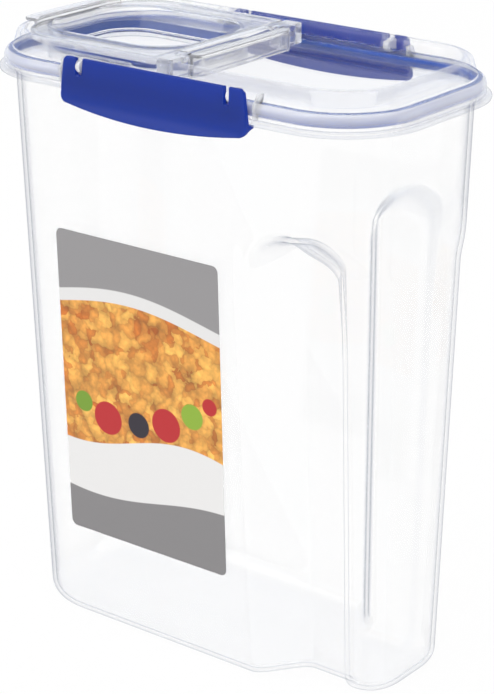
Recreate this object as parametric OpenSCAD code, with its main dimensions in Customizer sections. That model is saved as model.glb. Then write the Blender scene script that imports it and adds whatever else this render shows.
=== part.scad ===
// Tall store box for dry food, with a snap-on lid, two side clips and a flip cover over the pour opening.
// Origin: centre of the base. +X runs along the long side towards the grip neck, +Z is up.

/* [Body] */
// Length over the rim lip, along X
lip_l = 217; // [200:1:235]
// Width over the rim lip, along Y
lip_w = 118; // [110:1:128]
// Corner radius of the lip, seen from above
lip_r = 39; // [34:0.5:44]
// How far the lip stands out from the wall below it
lip_out = 6.3; // [5.9:0.1:7.5]
// Thickness of the lip
lip_t = 1.8; // [1.2:0.1:2.6]
// Height of the lip's underside above the base
lip_z = 259.2; // [235:0.2:300]
// Height of the rim above the lip
rim_h = 4; // [3.6:0.1:6]
// Wall thickness of the body
wall = 1.8; // [1.2:0.1:2.4]
// How much narrower each end is at the base than at the lip
draft_x = 3.5; // [0.5:0.1:5]
// How much narrower each side is at the base than at the lip
draft_y = 9.4; // [4:0.1:11]
// Corner radius of the body wall, seen from above
body_r = 35; // [30:0.5:38]
// Radius of the rounded edge round the base
base_r = 7; // [4:0.5:9]

/* [Grip neck] */
// Depth of the finger groove, from the side wall
groove_d = 19.8; // [12:0.2:22]
// Depth of the end post beside the groove, from the side wall
post_d = 15.8; // [9:0.2:17]
// Corner radius of the end post, seen from above
post_r = 16; // [10:0.5:20]
// X at which the flank starts to leave the side wall, at the base
flank_x = 39.7; // [30:0.1:46]
// Length of the flank along X
flank_l = 20.8; // [14:0.2:26]
// How far the flank has moved towards -X at the lip
flank_lean = 6.4; // [0:0.2:8]
// X of the start of the ridge between the groove and the end post
ridge_x = 77; // [70:0.5:80]
// Length of the ridge along X
ridge_l = 4; // [3:0.5:6]
// X of the middle of the arch over the grip
arch_x = 63; // [60:0.5:66]
// Reach of the arch from its middle towards the flank
arch_hw = 24; // [20:0.5:28]
// Height at which the arch springs
arch_z = 190; // [120:1:196]
// Rise of the arch
arch_rise = 22; // [12:1:30]
// Height over which the groove runs out into the wall at the top of the arch
groove_run = 8; // [4:0.5:14]
// Height above the springing at which the end post has run out into the wall
post_up = 36; // [30:1:44]
// Height over which the end post runs out into the wall
post_run = 36; // [24:1:50]

/* [Lid] */
// Wall thickness of the lid and the flap
lid_wall = 1.5; // [1.2:0.1:1.8]
// Step in from the lip's edge to the skirt
skirt_in = 2.4; // [1.8:0.1:3]
// Radius of the rounded shoulder over the seal
shoulder_r = 3.4; // [3:0.1:4]
// Step in from the lip's edge to the foot of the raised ring
ring_in = 6.1; // [5.9:0.1:6.6]
// Width of the ring at the level of the sunken floor
ring_foot = 8.8; // [8:0.1:11]
// Width of the ring's round crown
crown_w = 5.6; // [4.6:0.1:6.6]
// Rise of the ring's round crown
crown_h = 2.6; // [1.8:0.1:3.2]
// Height of the ring above the shoulder
ring_h = 8.2; // [6:0.1:10]
// Depth of the sunken floor below the crown of the ring
floor_drop = 8.9; // [7:0.1:10]
// X of the raised bridge's face towards the sunken floor
bridge_x = 4.5; // [2:0.5:10]
// Width of the raised bridge along X
bridge_w = 6; // [5:0.5:9]
// Half length of the bridge along Y
bridge_hl = 33; // [31.5:0.5:40]
// Depth of the collar below the sunken floor, round the pour opening
collar_h = 5; // [3:0.5:9]
// Thickness of the seals' soft caps
seal_t = 1.75; // [1.4:0.05:2.4]

/* [Flap] */
// Length of the flap's sunken mouth along X
mouth_l = 80; // [60:0.5:81]
// Width of the flap's sunken mouth along Y
mouth_w = 63; // [50:0.5:70]
// Corner radius of the flap's sunken mouth
mouth_r = 22; // [18:0.5:26]
// How much smaller each side of the mouth is at its floor
mouth_slope = 5.5; // [3:0.1:7]
// Depth of the flap's sunken mouth
mouth_d = 9.9; // [7:0.1:11]
// Distance from the hinge axis to the near edge of the mouth
mouth_gap = 7; // [6:0.5:10]
// Gap between the seal on the flap and the collar
plug_gap = 0.3; // [0.2:0.05:0.5]
// Step in from the lip's edge to the thumb brim's edge
brim_in = 8.5; // [7:0.1:11]
// Width of the thumb brim along Y
brim_w = 62; // [30:1:70]
// Radius of the flap's hinge barrel
barrel_r = 2.4; // [2:0.1:3]
// Radius of the flap's hinge pins
flap_pin_r = 1.4; // [1:0.1:1.7]
// Half of the barrel's length along Y
barrel_hl = 29.6; // [20:0.2:32]
// Length of each hinge pin beyond the barrel
flap_pin_l = 6; // [4:0.2:9]
// Gap between the flap's edge and the ring's crown
flap_gap = 0.7; // [0.5:0.05:1.2]

/* [Clips] */
// Length of a clip at its foot, along X
clip_l = 100; // [92:1:110]
// Length of a clip at its top, along X
clip_top_l = 96; // [90:1:104]
// Height of a clip's top edge above the lip's underside
clip_up = 14.8; // [13.6:0.1:15.6]
// Depth of a clip's ends below the lip's underside
clip_down = 5.2; // [4:0.2:9]
// How much lower the middle of the clip's foot is than its ends
clip_bow = 3.4; // [1:0.2:6]
// Thickness of a clip's face
clip_t = 1.8; // [1.4:0.1:2.2]
// Outward flare of a clip's foot
clip_flare = 3; // [1:0.2:5]
// Distance from the middle of a clip to each slot
slot_x = 40.7; // [34:0.1:43]
// Thickness of the lid's lugs in the slots
lug_t = 2.6; // [2:0.1:3.4]
// Radius of a clip's hinge pins
clip_pin_r = 1; // [0.8:0.05:1.1]
// How far the hook reaches under the lip
hook_in = 2.4; // [1:0.1:3]

/* [Label] */
// Width of the label along X
label_w = 91; // [60:1:95]
// Height of the label up the wall
label_h = 146; // [90:1:160]
// X of the label's left edge
label_x = -63.5; // [-64:0.5:-40]
// Height of the label's lower edge above the base
label_z = 47; // [20:1:90]
// Corner radius of the label
label_r = 3; // [1:0.5:8]
// Thickness of the label
label_t = 0.25; // [0.15:0.05:0.5]

/* [Fits] */
// Radial clearance of a hinge pin in its hole
pin_play = 0.05; // [0.02:0.01:0.1]
// Gap between parts that move past each other
play = 0.3; // [0.2:0.05:0.5]
// Gap between a seal and what it rests on
seat = 0.15; // [0.05:0.05:0.2]

/* [Hidden] */
$fn = 64;

clear_pp = [0.86, 0.90, 0.95, 0.45];
clear_lid = [0.80, 0.86, 0.95, 0.55];
clip_blue = [0.17, 0.23, 0.56];
seal_blue = [0.20, 0.30, 0.66];
label_grey = [0.60, 0.59, 0.59];

// Heights of the lid, one above the other.
lip_top = lip_z + lip_t;
rim_top = lip_top + rim_h;
seal_top = rim_top + seat + seal_t;
shoulder_z = seal_top + 0.1 + lid_wall;
crown_z = shoulder_z + ring_h;
floor_z = crown_z - floor_drop;
flap_top = crown_z - 0.5;
// The seal's leg stands in the channel between the skirt and the rim.
channel_in = skirt_in + lid_wall;
// The rim wall and the rib inside it.
rib_in = lip_out + wall + play + 0.1;
// Middle and half width of the ring's crown, from the lip's edge.
crown_mid = ring_in + ring_foot / 2 + 0.2;
crown_hw = crown_w / 2;
crown_base = crown_z - crown_h;
ring_end = ring_in + ring_foot;

// Hinge of the flap.
hinge_x = bridge_x - bridge_w - barrel_r - 1.6;
hinge_z = flap_top - barrel_r;
lug_x0 = hinge_x - barrel_r - 1.1;
mouth_x = hinge_x - mouth_gap - mouth_l / 2;
flap_edge = crown_mid + crown_hw + flap_gap;

// Hinge and face of the clips, measured outwards from the middle plane of the part.
pocket_y = lip_w / 2 - 2;
clip_in = pocket_y + play + 0.3;
clip_out = clip_in + clip_t;
clip_axis_y = clip_in - 0.2;
clip_axis_z = lip_z + clip_up - 3.8;

// Steps along the body's outline: angles round its corners, shares of each stretch of the grip.
CORNER = [0 : 10 : 90];
FLANK = [0, 0.1, 0.22, 0.34, 0.5, 0.66, 0.78, 0.9, 1];
RIDGE = [0, 0.2, 0.4, 0.6, 0.8, 1];
POST = [38, 30, 22, 15, 7, 0];
// Steps up the run-out of the grip.
RUN_OUT = [0, 0.1, 0.2, 0.3, 0.4, 0.5, 0.6, 0.7, 0.8, 0.9, 1, 1.12, 1.25, 1.4, 1.55, 1.7, 1.85, 2];

// A curve that leaves 0 and reaches 1 without a corner.
function ease(t) = let (u = max(0, min(1, t))) u * u * (3 - 2 * u);
function mix(a, b, t) = a + (b - a) * t;
// Height left under a quarter circle of radius r, at a distance past its start.
function corner_drop(r, past) = past <= 0 ? 0 : r - sqrt(max(0, r * r - past * past));
function half_l(z) = lip_l / 2 - lip_out - draft_x * (1 - z / lip_z);
function half_w(z) = lip_w / 2 - lip_out - draft_y * (1 - z / lip_z);

// Where the flank and the ridge start, moved into the solid by the wall's thickness.
function flank_start(z, w) = flank_x - flank_lean * z / lip_z - 0.55 * w;
function ridge_start(w) = ridge_x + 0.55 * w;
function on_post(x, w) = ease((x - ridge_start(w)) / ridge_l);

// The arch over the groove: half of an ellipse that ends at the ridge.
function arch(x) =
    let (t = x < arch_x ? (x - arch_x) / arch_hw : (x - arch_x) / (ridge_x + 1.4 * ridge_l - arch_x))
    arch_rise * sqrt(max(0, 1 - t * t));
// Height over which the groove runs out, longer towards the flank.
function arch_run(x) = groove_run * (1 + 0.7 * ease((arch_x - x) / (0.7 * arch_hw)));

// Share of the groove's full depth: all of it under the arch, none on the post or above.
function in_groove(x, z, w) =
    (1 - on_post(x, w)) * (1 - ease((z - arch_z - w - arch(x)) / arch_run(x) + 1));
// Share of the post's depth left at a height. Its run-out starts lower over the groove.
function post_left(x, z, w) =
    let (
        over_groove = ease((x - arch_x) / (ridge_x + 3 * ridge_l - arch_x)),
        top = arch_z + 0.4 * w + post_up * mix(0.4, 1, over_groove)
    )
    1 - ease((z - top) / post_run + 1);

// Depth of the grip below the side wall: down the flank, along the groove, up the ridge, along the post.
function grip_depth(x, z, w) =
    let (
        down = ease((x - flank_start(z, w)) / flank_l),
        post = post_d + corner_drop(post_r - w, x - (half_l(z) - post_r))
    )
    down * mix(post * post_left(x, z, w), groove_d, in_groove(x, z, w));

// Rows of points follow the arch over the groove and the run-out of the post.
function past_ridge(x, w) = ease((x - ridge_start(w)) / (post_r + 2));
function row_top(x, w) = arch_z + w + mix(arch(min(x, ridge_x + ridge_l / 2)), post_up, past_ridge(x, w));
function row_run(x, w) = mix(arch_run(x), post_run, past_ridge(x, w));

// Half width of the body at a given X and height, set in by w: the larger of the corner's and the grip's
// depth is taken off, rounded where the two meet.
function body_y(x, z, w) =
    let (
        corner = corner_drop(body_r - w, abs(x) - (half_l(z) - body_r)),
        grip = grip_depth(x, z, w),
        large = max(corner, grip, 1e-6)
    )
    half_w(z) - w - large * pow(pow(corner / large, 12) + pow(grip / large, 12), 1 / 12);

// X of every point on one side of the outline, from the -X end to the +X end.
function stations(z, w) =
    let (
        c = half_l(z) - body_r,
        r = body_r - w,
        f0 = flank_start(z, w),
        f1 = f0 + flank_l,
        r0 = ridge_start(w),
        r1 = r0 + ridge_l,
        p0 = c + r * cos(POST[0])
    )
    concat(
        [for (a = CORNER) -c - r * cos(a)],
        [0],
        [for (u = FLANK) mix(f0, f1, u)],
        [mix(f1, r0, 0.25), mix(f1, r0, 0.5), mix(f1, r0, 0.75)],
        [for (u = RIDGE) mix(r0, r1, u)],
        [mix(r1, p0, 0.3), mix(r1, p0, 0.65)],
        [for (a = POST) c + r * cos(a)]
    );

// The k-th point of one side, at height z or at a share u of the run-out there. From 1 to 2 the share
// goes on from the run-out's top to a level row.
function side_point(k, z, w) = let (x = stations(z, w)[k]) [x, body_y(x, z, w), z];
function run_point(k, u, w) =
    let (x = stations(arch_z, w)[k])
    u <= 1 ? side_point(k, row_top(x, w) - row_run(x, w) * (1 - u), w)
        : side_point(k, mix(row_top(x, w), arch_z + 1.3 * post_up, u - 1), w);

// The closed outline through one side's points and their mirror images in front.
function both_sides(points) =
    let (n = len(points))
    concat(points, [for (k = [n - 2 : -1 : 1]) [points[k][0], -points[k][1], points[k][2]]]);
function outline(z, w) = both_sides([for (x = stations(z, w)) [x, body_y(x, z, w), z]]);
function run_ring(u, w) = both_sides([for (k = [0 : len(stations(0, w)) - 1]) run_point(k, u, w)]);

// A skin through rings of equally many points, closed at both ends.
module skin(rings) {
    n = len(rings[0]);
    m = len(rings);
    points = [for (ring = rings, p = ring) p];
    sides = [for (j = [0 : m - 2], k = [0 : n - 1], t = [0, 1])
        let (a = j * n + k, b = j * n + (k + 1) % n)
        t == 0 ? [a, b, b + n] : [a, b + n, a + n]];
    first = [for (k = [n - 1 : -1 : 0]) k];
    last = [for (k = [0 : n - 1]) (m - 1) * n + k];
    polyhedron(points, concat(sides, [first, last]));
}

// Rings of one surface of the body, set in by w: the base's rounded edge, the run-out of the grip
// and the top.
function body_rings(r, base, w, top) =
    concat(
        [for (a = [90, 67, 45, 22, 0]) outline(base + r * (1 - sin(a)), w + r * (1 - cos(a)))],
        [for (u = RUN_OUT) run_ring(u, w)],
        [outline(top, w)]
    );

// Carries the outline drawn by its children round a rounded rectangle. The outline's x is measured
// from the centre of the corners.
module around(l, w, r) {
    run_x = l / 2 - r;
    run_y = w / 2 - r;
    for (q = [[1, 1, 0], [-1, 1, 90], [-1, -1, 180], [1, -1, 270]])
        translate([q[0] * run_x, q[1] * run_y, 0])
            rotate([0, 0, q[2]]) rotate_extrude(angle = 90) children();
    for (a = [0, 180]) {
        rotate([0, 0, a]) translate([-run_x, run_y, 0])
            rotate([90, 0, 90]) linear_extrude(2 * run_x) children();
        rotate([0, 0, a]) translate([run_x, run_y, 0])
            rotate([90, 0, 0]) linear_extrude(2 * run_y) children();
    }
}

// A rounded rectangle made of bars and discs, set in by s.
module rounded(l, w, r, s = 0) {
    square([l - 2 * s, w - 2 * r], center = true);
    square([l - 2 * r, w - 2 * s], center = true);
    for (x = [-1, 1], y = [-1, 1])
        translate([x * (l / 2 - r), y * (w / 2 - r)]) circle(r - s);
}

module slab(l, w, r, s, z0, z1) {
    translate([0, 0, z0]) linear_extrude(z1 - z0) rounded(l, w, r, s);
}

// A rectangle of the lid's section, by its steps in from the lip's edge and its heights.
module bar(s0, s1, z0, z1) {
    translate([lip_r - s1, z0]) square([s1 - s0, z1 - z0]);
}

module body() {
    color(clear_pp) {
        difference() {
            skin(body_rings(base_r, 0, 0, lip_z + lip_t / 2));
            skin(body_rings(base_r - wall, wall, wall, lip_top + 1));
        }
        difference() {
            slab(lip_l, lip_w, lip_r, 0, lip_z, lip_top);
            slab(lip_l, lip_w, lip_r, lip_out + wall, lip_z - 1, lip_top + 1);
            // The lip steps back behind each clip.
            for (side = [-1, 1])
                translate([-clip_l / 2 - 1, side > 0 ? pocket_y : -pocket_y - 5, lip_z - 1])
                    cube([clip_l + 2, 5, lip_t + 2]);
        }
        around(lip_l, lip_w, lip_r) bar(lip_out, lip_out + wall, lip_top - lip_t / 2, rim_top);
    }
}

module label() {
    lean = atan(draft_y / lip_z);
    color(label_grey)
        translate([0, -half_w(0) - 0.03, 0]) rotate([90 + lean, 0, 0])
            translate([label_x + label_w / 2, label_z + label_h / 2, 0])
                linear_extrude(label_t) rounded(label_w, label_h, label_r);
}

// Half ring of the crown, as points from its outer to its inner side.
function crown_arc(hw, rise) =
    [for (a = [0 : 18 : 180]) [lip_r - crown_mid + hw * cos(a), crown_base + rise * sin(a)]];

// Section of the raised ring, hollow from below.
module ring_section() {
    difference() {
        polygon(concat(
            [[lip_r - ring_in - lid_wall, shoulder_z - lid_wall],
             [lip_r - ring_in, shoulder_z - lid_wall], [lip_r - ring_in, shoulder_z]],
            crown_arc(crown_hw, crown_h),
            [[lip_r - ring_end, floor_z], [lip_r - ring_end, floor_z - lid_wall],
             [lip_r - ring_end + lid_wall, floor_z - lid_wall]]
        ));
        polygon(concat(
            [[lip_r - ring_in - lid_wall, floor_z - lid_wall - 1],
             [lip_r - ring_in - lid_wall, shoulder_z - 0.4]],
            crown_arc(crown_hw - lid_wall, crown_h - lid_wall),
            [[lip_r - ring_end + lid_wall, floor_z],
             [lip_r - ring_end + lid_wall, floor_z - lid_wall - 1]]
        ));
    }
}

// Quarter disc of the shoulder, centred where the skirt and the shoulder's flat meet.
module shoulder_quarter(r) {
    intersection() {
        translate([lip_r - skirt_in - shoulder_r, shoulder_z - shoulder_r]) circle(r);
        translate([lip_r - skirt_in - shoulder_r, shoulder_z - shoulder_r]) square(r + 1);
    }
}

// Section of the skirt and the shoulder over the seal.
module skirt_section() {
    difference() {
        shoulder_quarter(shoulder_r);
        shoulder_quarter(shoulder_r - lid_wall);
    }
    bar(skirt_in, channel_in, lip_top + play, shoulder_z - shoulder_r);
    bar(skirt_in + shoulder_r, ring_in + lid_wall, shoulder_z - lid_wall, shoulder_z);
}

// One ear that a clip turns on, standing out through the clip's slot.
module clip_lug() {
    rotate([90, 0, 90]) translate([0, 0, -lug_t / 2]) linear_extrude(lug_t) difference() {
        union() {
            translate([clip_axis_y - 0.9, clip_axis_z - 0.2]) circle(3);
            translate([lip_w / 2 - ring_in - 2, clip_axis_z - 2.4]) square([ring_in - 1, 4.4]);
        }
        translate([clip_axis_y, clip_axis_z]) circle(clip_pin_r + pin_play);
    }
}

// A thin wall that closes the clip's pocket at one end.
module pocket_wall() {
    rotate([90, 0, 90]) translate([0, 0, -lid_wall / 2]) linear_extrude(lid_wall) polygon([
        [lip_w / 2 - channel_in, lip_top + play],
        [lip_w / 2 - 1.4, lip_top + play],
        [lip_w / 2 - 1.4, shoulder_z - 1],
        [lip_w / 2 - 4, shoulder_z + 3.4],
        [lip_w / 2 - ring_in - 2, shoulder_z + 3.4],
        [lip_w / 2 - ring_in - 2, shoulder_z - lid_wall],
        [lip_w / 2 - channel_in, shoulder_z - lid_wall]
    ]);
}

// The plan of the pour opening, set out by s.
module opening_plan(s) {
    translate([mouth_x, 0]) rounded(mouth_l, mouth_w, mouth_r, -s);
}

// The bridge's plan, set in by s: half of a rounded bar, flat on the side of the hinge.
module bridge_plan(s) {
    half = bridge_w - lid_wall;
    intersection() {
        translate([bridge_x - half, 0]) rounded(2 * half, 2 * bridge_hl, half - 0.5, s);
        translate([bridge_x - bridge_w + s, -lip_w]) square([bridge_w, 2 * lip_w]);
    }
}

module lid() {
    ear_end = lip_w / 2 - ring_end + lid_wall + 0.6;
    color(clear_lid) difference() {
        union() {
            around(lip_l, lip_w, lip_r) {
                ring_section();
                skirt_section();
                bar(rib_in, rib_in + 1.2, rim_top - 2, crown_base + crown_h / 2);
            }
            slab(lip_l, lip_w, lip_r, ring_end - 0.2, floor_z - lid_wall, floor_z);
            // Raised bridge with round corners, and the flap's hinge lugs behind its ends.
            translate([0, 0, floor_z - lid_wall]) linear_extrude(flap_top - floor_z + lid_wall)
                bridge_plan(0);
            for (side = [-1, 1])
                translate([lug_x0, side > 0 ? barrel_hl + play : -ear_end, floor_z - lid_wall]) cube([
                    bridge_x - bridge_w + lid_wall - lug_x0,
                    ear_end - barrel_hl - play,
                    flap_top - floor_z + lid_wall
                ]);
            // Collar round the pour opening.
            translate([0, 0, floor_z - collar_h - lid_wall]) linear_extrude(collar_h + lid_wall)
                opening_plan(plug_gap + lid_wall);
            for (side = [0, 180], x = [-slot_x, slot_x])
                rotate([0, 0, side]) translate([x, 0, 0]) clip_lug();
            for (side = [0, 180], x = [-1, 1])
                rotate([0, 0, side]) translate([x * (clip_l / 2 + 2), 0, 0]) pocket_wall();
        }
        // Pour opening.
        translate([0, 0, floor_z - collar_h - 2 * lid_wall])
            linear_extrude(collar_h + 3 * lid_wall) opening_plan(plug_gap);
        // Hollow under the bridge.
        translate([0, 0, floor_z - 2 * lid_wall]) linear_extrude(flap_top - floor_z + lid_wall)
            bridge_plan(lid_wall);
        // Pin holes of the flap's hinge.
        for (side = [-1, 1])
            translate([hinge_x, side * (barrel_hl + flap_pin_l / 2), hinge_z]) rotate([90, 0, 0])
                cylinder(h = flap_pin_l + 2 * play + 1, r = flap_pin_r + pin_play, center = true);
    }
}

// The lid's seal: a cap on the rim with a leg down the outside, rounded under the shoulder.
module lid_seal() {
    leg_in = channel_in + 0.1;
    color(seal_blue) around(lip_l, lip_w, lip_r) {
        intersection() {
            shoulder_quarter(shoulder_r - lid_wall - 0.1);
            translate([0, rim_top - 3]) square([lip_r, seal_top - rim_top + 3]);
        }
        bar(leg_in, lip_out - play, lip_top + 1.6, shoulder_z - shoulder_r + 0.01);
        bar(skirt_in + shoulder_r, lip_out + wall + 0.2, rim_top + seat, seal_top);
    }
}

// Section of a clip, y measured outwards: face, flared foot and hook under the lip.
module clip_section() {
    foot_z = lip_z - clip_down - clip_bow;
    polygon([
        [clip_in, lip_z + clip_up - 0.6],
        [clip_in + 0.6, lip_z + clip_up],
        [clip_out - 0.6, lip_z + clip_up],
        [clip_out, lip_z + clip_up - 0.6],
        [clip_out + 0.5, lip_z + 3],
        [clip_out + 0.3, lip_z - 2.6],
        [clip_out + clip_flare, foot_z + 0.6],
        [clip_out + clip_flare - 0.8, foot_z],
        [clip_in + 0.2, lip_z - 3.4],
        [clip_in - 0.4, lip_z - 3],
        [pocket_y - hook_in, lip_z - 1.6],
        [pocket_y - hook_in, lip_z - play],
        [clip_in, lip_z - play]
    ]);
}

// Face of a clip seen from the front: straight top, sloped ends, bowed foot, round corners.
module clip_face() {
    foot = lip_z - clip_down;
    top = lip_z + clip_up;
    round = 4;
    // The foot's bow is an arc through both ends and the lowered middle.
    half = clip_l / 2 - round;
    bow_r = (half * half + clip_bow * clip_bow) / (2 * clip_bow);
    difference() {
        union() {
            polygon([
                [-clip_l / 2, foot + round], [clip_l / 2, foot + round],
                [clip_top_l / 2, top - 2], [clip_top_l / 2 - 2, top],
                [-clip_top_l / 2 + 2, top], [-clip_top_l / 2, top - 2]
            ]);
            for (x = [-1, 1]) translate([x * half, foot + round]) circle(round);
            translate([-half, foot]) square([2 * half, round]);
            intersection() {
                translate([0, foot - clip_bow + bow_r]) circle(bow_r, $fn = 512);
                translate([-half, foot - clip_bow - 1]) square([2 * half, clip_bow + 3]);
            }
        }
        // Slots for the lid's lugs, open at the top.
        for (x = [-1, 1]) {
            translate([x * slot_x, clip_axis_z - 2.2]) circle(lug_t / 2 + play, $fn = 32);
            translate([x * slot_x - lug_t / 2 - play, clip_axis_z - 2.2]) square([lug_t + 2 * play, 10]);
        }
    }
}

module clip() {
    cheek_t = 1.5;
    slot_w = lug_t + 2 * play;
    color(clip_blue) {
        intersection() {
            translate([-clip_l / 2, 0, 0]) rotate([90, 0, 90]) linear_extrude(clip_l) clip_section();
            translate([0, clip_out + 2 * clip_flare, 0]) rotate([90, 0, 0])
                linear_extrude(4 * clip_flare + 2 * hook_in) clip_face();
        }
        for (x = [-slot_x, slot_x]) translate([x, 0, 0]) {
            // Pin across the slot, and the cheeks that hold it.
            translate([0, clip_axis_y, clip_axis_z]) rotate([0, 90, 0])
                cylinder(h = slot_w + 2 * cheek_t, r = clip_pin_r, center = true);
            for (s = [-1, 1])
                translate([s * (slot_w + cheek_t) / 2 - cheek_t / 2, clip_axis_y - 1.5, clip_axis_z - 1.5])
                    cube([cheek_t, clip_in - clip_axis_y + 1.9, 3]);
        }
    }
}

module clip_back() {
    clip();
}

module clip_front() {
    rotate([0, 0, 180]) clip();
}

// Section of the flap's sunken mouth, x measured from the centre of its corners.
module mouth_section() {
    slope_out = lid_wall * 1.15;
    floor_top = flap_top - mouth_d;
    polygon([
        [mouth_r, flap_top], [mouth_r + slope_out, flap_top],
        [mouth_r - mouth_slope + slope_out, floor_top],
        [mouth_r - mouth_slope + slope_out, floor_top - lid_wall],
        [mouth_r - mouth_slope - 1, floor_top - lid_wall],
        [mouth_r - mouth_slope - 1, floor_top], [mouth_r - mouth_slope, floor_top]
    ]);
}

// Plan of the flap: the ring's inner outline, cut off short of the hinge lugs.
module flap_plan(s) {
    intersection() {
        rounded(lip_l, lip_w, lip_r, flap_edge + s);
        translate([-lip_l, -lip_w]) square([lip_l + lug_x0 - 0.8 - s, 2 * lip_w]);
    }
}

module flap() {
    brim_z = crown_z + 0.4;
    brim_t = 1.3;
    color(clear_lid) {
        // Top plate with a turned-down edge, and the web to the barrel.
        difference() {
            union() {
                translate([0, 0, flap_top - lid_wall]) linear_extrude(lid_wall) flap_plan(0);
                translate([0, 0, flap_top - lid_wall - 2]) linear_extrude(2.1) difference() {
                    flap_plan(0);
                    flap_plan(1.2);
                }
            }
            translate([mouth_x, 0, flap_top - lid_wall - 1]) linear_extrude(lid_wall + 2)
                rounded(mouth_l, mouth_w, mouth_r);
        }
        translate([lug_x0 - 2, -barrel_hl, flap_top - lid_wall])
            cube([hinge_x - lug_x0 + 2, 2 * barrel_hl, lid_wall]);
        // Sunken mouth.
        translate([mouth_x, 0, 0]) around(mouth_l, mouth_w, mouth_r) mouth_section();
        translate([mouth_x, 0, 0])
            slab(mouth_l, mouth_w, mouth_r, mouth_slope + 0.8, flap_top - mouth_d - lid_wall,
                flap_top - mouth_d);
        // Hinge barrel and its pins.
        translate([hinge_x, 0, hinge_z]) rotate([90, 0, 0])
            cylinder(h = 2 * barrel_hl, r = barrel_r, center = true);
        translate([hinge_x, 0, hinge_z]) rotate([90, 0, 0])
            cylinder(h = 2 * (barrel_hl + flap_pin_l), r = flap_pin_r, center = true);
        // Thumb brim over the ring, with a riser along the flap's edge.
        intersection() {
            union() {
                translate([0, 0, brim_z]) linear_extrude(brim_t) difference() {
                    rounded(lip_l, lip_w, lip_r, brim_in);
                    rounded(lip_l, lip_w, lip_r, flap_edge + lid_wall);
                }
                translate([0, 0, flap_top - 1]) linear_extrude(brim_z + brim_t - flap_top + 1) difference() {
                    flap_plan(0);
                    flap_plan(lid_wall);
                }
            }
            translate([-lip_l / 2, -brim_w / 2, flap_top - 1]) cube([lip_l / 4, brim_w, 2 * lid_wall + 2]);
        }
    }
}

// Soft ring round the flap's mouth, on the slope's outer side.
module flap_seal() {
    slope_out = lid_wall * 1.15;
    floor_top = flap_top - mouth_d;
    rise = 3.4;
    low = floor_top - 0.6;
    // Outer side of the mouth's wall at a height above its floor.
    function wall_x(h) = mouth_r - mouth_slope * (1 - max(0, h) / mouth_d) + slope_out;
    color(seal_blue) translate([mouth_x, 0, 0]) around(mouth_l, mouth_w, mouth_r) polygon([
        [wall_x(0) + 0.02, low], [mouth_r - 0.4, low],
        [mouth_r, low + 0.6], [mouth_r, low + rise],
        [wall_x(rise - 0.6) + 0.02, low + rise], [wall_x(0) + 0.02, floor_top]
    ]);
}

body();
label();
lid();
lid_seal();
clip_front();
clip_back();
flap();
flap_seal();
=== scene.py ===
# %% [markdown]
# # A clear box for dry food, with a clip-on lid and a flip cover
#
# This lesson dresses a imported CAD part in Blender. The part is a tall moulded box with a grip neck, a lid
# that two blue clips hold on its rim, and a flip cover over the pour opening. The CAD model gives the sizes
# and the joints. Here each visible piece is made again as one smooth surface, worked out with numpy, and
# gets the finish of its plastic. Blender and the CAD share one frame, so no piece is placed by eye. Blender
# counts in metres. The sizes below are in millimetres, and MM turns them into metres in one place.

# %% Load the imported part
import math

import bpy
import numpy as np
from mathutils import Matrix


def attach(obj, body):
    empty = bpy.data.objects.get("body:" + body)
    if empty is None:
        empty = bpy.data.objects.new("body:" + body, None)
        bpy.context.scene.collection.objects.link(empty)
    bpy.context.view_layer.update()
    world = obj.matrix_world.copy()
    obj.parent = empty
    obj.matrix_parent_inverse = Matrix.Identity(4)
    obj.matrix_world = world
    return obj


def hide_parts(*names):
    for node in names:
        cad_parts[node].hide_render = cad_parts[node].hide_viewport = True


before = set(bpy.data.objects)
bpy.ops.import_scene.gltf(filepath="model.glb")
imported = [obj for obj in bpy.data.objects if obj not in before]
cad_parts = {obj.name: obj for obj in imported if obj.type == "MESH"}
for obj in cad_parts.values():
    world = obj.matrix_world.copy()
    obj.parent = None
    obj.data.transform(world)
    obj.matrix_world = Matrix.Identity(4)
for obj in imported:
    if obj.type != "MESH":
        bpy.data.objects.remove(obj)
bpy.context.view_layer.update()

# %% [markdown]
# ## Surfaces from rings
#
# Every piece here is a stack of rings. A ring is a closed row of points, and the next ring has its points in
# the same order, so a grid of four-sided faces joins the two. A piece is closed at its ends in one of three
# ways: by poles, where a fan of triangles meets in one point, by caps, which are one flat face each, or as a
# loop, where the last ring joins the first as in a tyre. A mesh made this way has no seams. It could also be
# modelled by hand with loop cuts and bevels, but a formula is shorter, and it follows the named sizes.

# %% Ring surfaces
MM = 0.001


def weighted_normals(points, quads, triangles, caps):
    """Normal of each point: the sum of its faces' area vectors, made one long. A face's area vector is half
    the sum of (this corner x next corner) round it, so a wide flat face outweighs the small faces of a fillet
    beside it and is shaded as flat as it is."""
    total = np.zeros_like(points)
    for faces in [quads, triangles] + [np.array([cap]) for cap in caps]:
        if len(faces):
            corner = points[faces] - points[faces[:, :1]]
            area = np.cross(corner, np.roll(corner, -1, axis=1)).sum(axis=1) / 2
            np.add.at(total, faces, area[:, None])
    return total / np.maximum(np.linalg.norm(total, axis=1, keepdims=True), 1e-12)


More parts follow.
